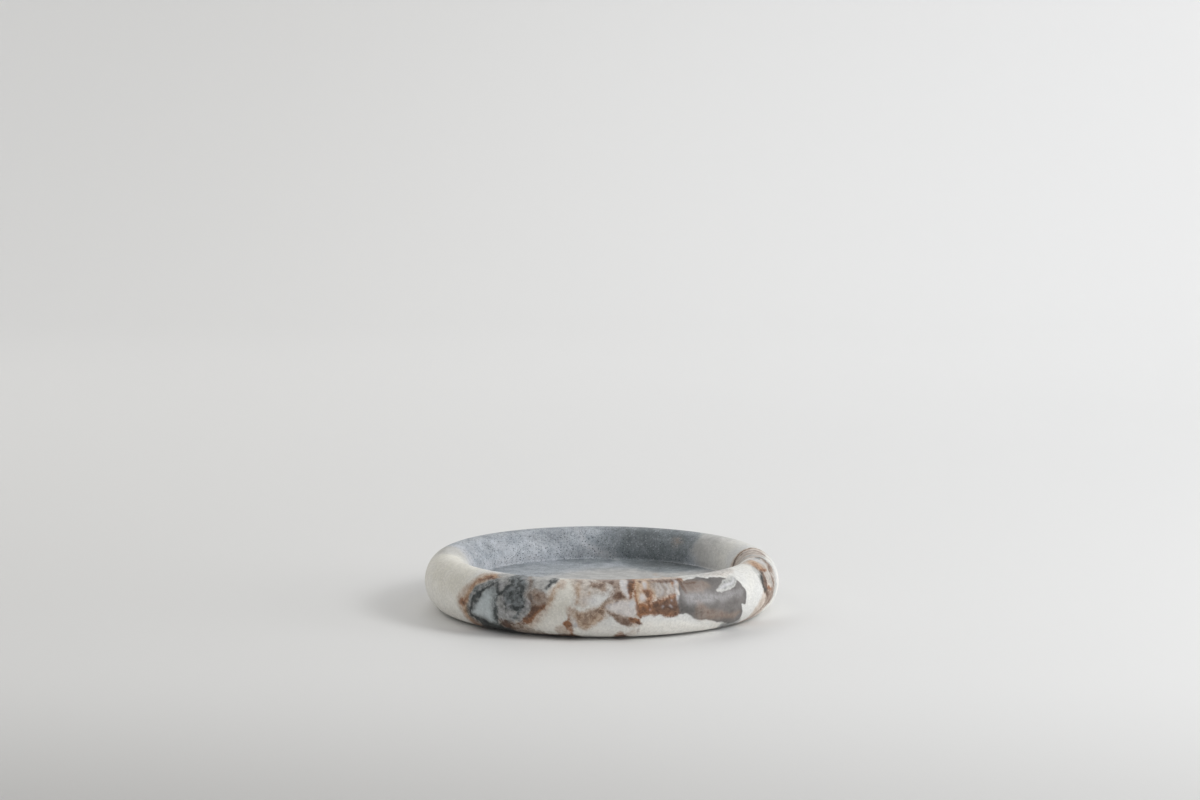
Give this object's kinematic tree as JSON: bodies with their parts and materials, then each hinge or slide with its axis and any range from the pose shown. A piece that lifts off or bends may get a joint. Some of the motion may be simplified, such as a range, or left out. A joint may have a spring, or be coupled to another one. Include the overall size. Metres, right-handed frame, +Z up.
{
  "type": "stone tray",
  "caption": "Round vanity tray turned from veined marble, with a fat rounded rim and a flat sunk floor, standing on thin rubber pads.",
  "frame": {"origin": "middle of the circle that the tray covers, on the surface it stands on", "axes": "+Z up, out of the recess; the pictured front, with the veined patches, faces -Y; +X to the right of it"},
  "size_m": [0.2, 0.2, 0.032],
  "materials": {
    "marble": "honed off-white marble with grey clouding and brown, grey and black veined patches",
    "pad_rubber": "matt"
  },
  "bodies": {
    "root": {"stone_tray": "marble", "pad_front_left": "pad_rubber", "pad_front_right": "pad_rubber", "pad_back_left": "pad_rubber", "pad_back_right": "pad_rubber"}
  },
  "joints": []
}
